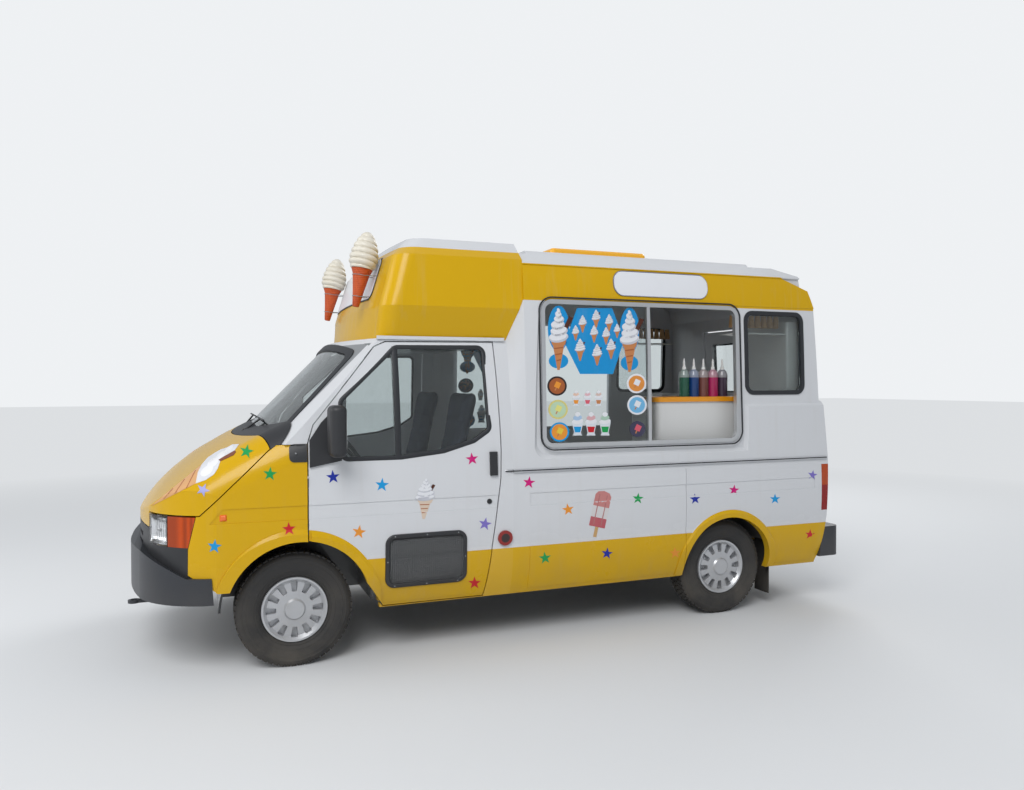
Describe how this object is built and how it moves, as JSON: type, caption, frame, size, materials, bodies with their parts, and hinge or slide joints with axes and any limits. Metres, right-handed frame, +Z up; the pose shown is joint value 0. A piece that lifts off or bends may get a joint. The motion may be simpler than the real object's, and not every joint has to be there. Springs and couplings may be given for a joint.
{
  "type": "ice cream van",
  "caption": "Medium panel van with a moulded ice cream body, sliding serving windows, a luton over the cab and roof cones.",
  "frame": {"origin": "on the ground, below the middle of the vehicle", "axes": "-X towards the nose, +X to the tail, -Y to the serving side shown in the picture, +Z up"},
  "size_m": [4.6704, 2.3, 2.4961],
  "materials": {
    "body_paint": "gloss",
    "hatch_orange": "gloss",
    "black_plastic": "matte",
    "bumper_grey": "matte",
    "lamp_glass": "clear",
    "lamp_colour": "gloss",
    "window_glass": "clear",
    "seal_rubber": "matte",
    "aluminium": "satin",
    "cap_red": "gloss",
    "plate_white": "gloss",
    "counter_white": "gloss",
    "syrup": "gloss",
    "seat_fabric": "woven",
    "cast_iron": "rough",
    "underbody": "matte",
    "exhaust_steel": "rough",
    "wafer": "satin",
    "cream": "satin",
    "tyre": "matte",
    "wheel_silver": "satin"
  },
  "bodies": {
    "body": {"floor_pan": "underbody", "cab_frame": "body_paint", "wings": "body_paint", "front_panel": "black_plastic", "front_bumper": "bumper_grey", "headlamps": "lamp_glass", "signal_lamps": "lamp_colour", "scuttle": "black_plastic", "lower_body": "body_paint", "upper_body": "body_paint", "luton": "body_paint", "aluminium_trim": "aluminium", "window_glass": "window_glass", "window_seals": "seal_rubber", "rear_bumper": "bumper_grey", "mudflaps": "seal_rubber", "fuel_cap": "cap_red", "counter": "counter_white", "bottles": "syrup", "cabinet": "counter_white", "seats": "seat_fabric", "dashboard": "black_plastic", "engine_block": "cast_iron", "crossmember": "underbody", "rear_axle": "cast_iron", "exhaust": "exhaust_steel", "fuel_tank": "underbody", "cone_wafers": "wafer", "cone_swirls": "cream", "name_plates": "plate_white"},
    "door_left": {"door_left": "body_paint", "door_glass_left": "window_glass", "door_vent": "black_plastic", "mirror_left": "black_plastic"},
    "door_right": {"door_right": "body_paint", "door_glass_right": "window_glass", "mirror_right": "black_plastic"},
    "rear_door": {"rear_door": "body_paint", "rear_door_glass": "window_glass"},
    "bonnet": {"bonnet": "body_paint"},
    "roof_hatch": {"roof_hatch": "hatch_orange"},
    "steer_left": {"knuckle_left": "cast_iron"},
    "steer_right": {"knuckle_right": "cast_iron"},
    "wheel_front_left": {"tyre_front_left": "tyre", "wheel_front_left": "wheel_silver"},
    "wheel_front_right": {"tyre_front_right": "tyre", "wheel_front_right": "wheel_silver"},
    "wheel_rear_left": {"tyre_rear_left": "tyre", "wheel_rear_left": "wheel_silver"},
    "wheel_rear_right": {"tyre_rear_right": "tyre", "wheel_rear_right": "wheel_silver"}
  },
  "joints": [
    {"name": "steering_left", "type": "hinge", "parent": "body", "child": "steer_left", "pos_m": [-1.465, -0.65, 0.318], "axis": [0, 0, 1], "range_deg": [-35, 35]},
    {"name": "steering_right", "type": "hinge", "parent": "body", "child": "steer_right", "pos_m": [-1.465, 0.65, 0.318], "axis": [0, 0, 1], "range_deg": [-35, 35]},
    {"name": "door_left_swing", "type": "hinge", "parent": "body", "child": "door_left", "pos_m": [-1.3985, -0.95, 0.8], "axis": [0, 0, -1], "range_deg": [0, 65]},
    {"name": "door_right_swing", "type": "hinge", "parent": "body", "child": "door_right", "pos_m": [-1.3985, 0.95, 0.8], "axis": [0, 0, 1], "range_deg": [0, 65]},
    {"name": "rear_door_swing", "type": "hinge", "parent": "body", "child": "rear_door", "pos_m": [2.208, 0.365, 1.045], "axis": [-0.0565, 0, 0.9984], "range_deg": [0, 95]},
    {"name": "bonnet_lift", "type": "hinge", "parent": "body", "child": "bonnet", "pos_m": [-1.56, 0, 1.285], "axis": [0, 1, 0], "range_deg": [0, 45]},
    {"name": "hatch_lift", "type": "hinge", "parent": "body", "child": "roof_hatch", "pos_m": [1.028, 0, 2.438], "axis": [0, 1, 0], "range_deg": [0, 45]},
    {"name": "roll_front_left", "type": "hinge", "parent": "steer_left", "child": "wheel_front_left", "pos_m": [-1.465, -0.795, 0.318], "axis": [0, 1, 0], "continuous": true},
    {"name": "roll_front_right", "type": "hinge", "parent": "steer_right", "child": "wheel_front_right", "pos_m": [-1.465, 0.795, 0.318], "axis": [0, 1, 0], "continuous": true},
    {"name": "roll_rear_left", "type": "hinge", "parent": "body", "child": "wheel_rear_left", "pos_m": [1.35, -0.795, 0.318], "axis": [0, 1, 0], "continuous": true},
    {"name": "roll_rear_right", "type": "hinge", "parent": "body", "child": "wheel_rear_right", "pos_m": [1.35, 0.795, 0.318], "axis": [0, 1, 0], "continuous": true}
  ],
  "couplings": [
    {"joint": "steering_right", "follows": "steering_left", "ratio": 1}
  ]
}
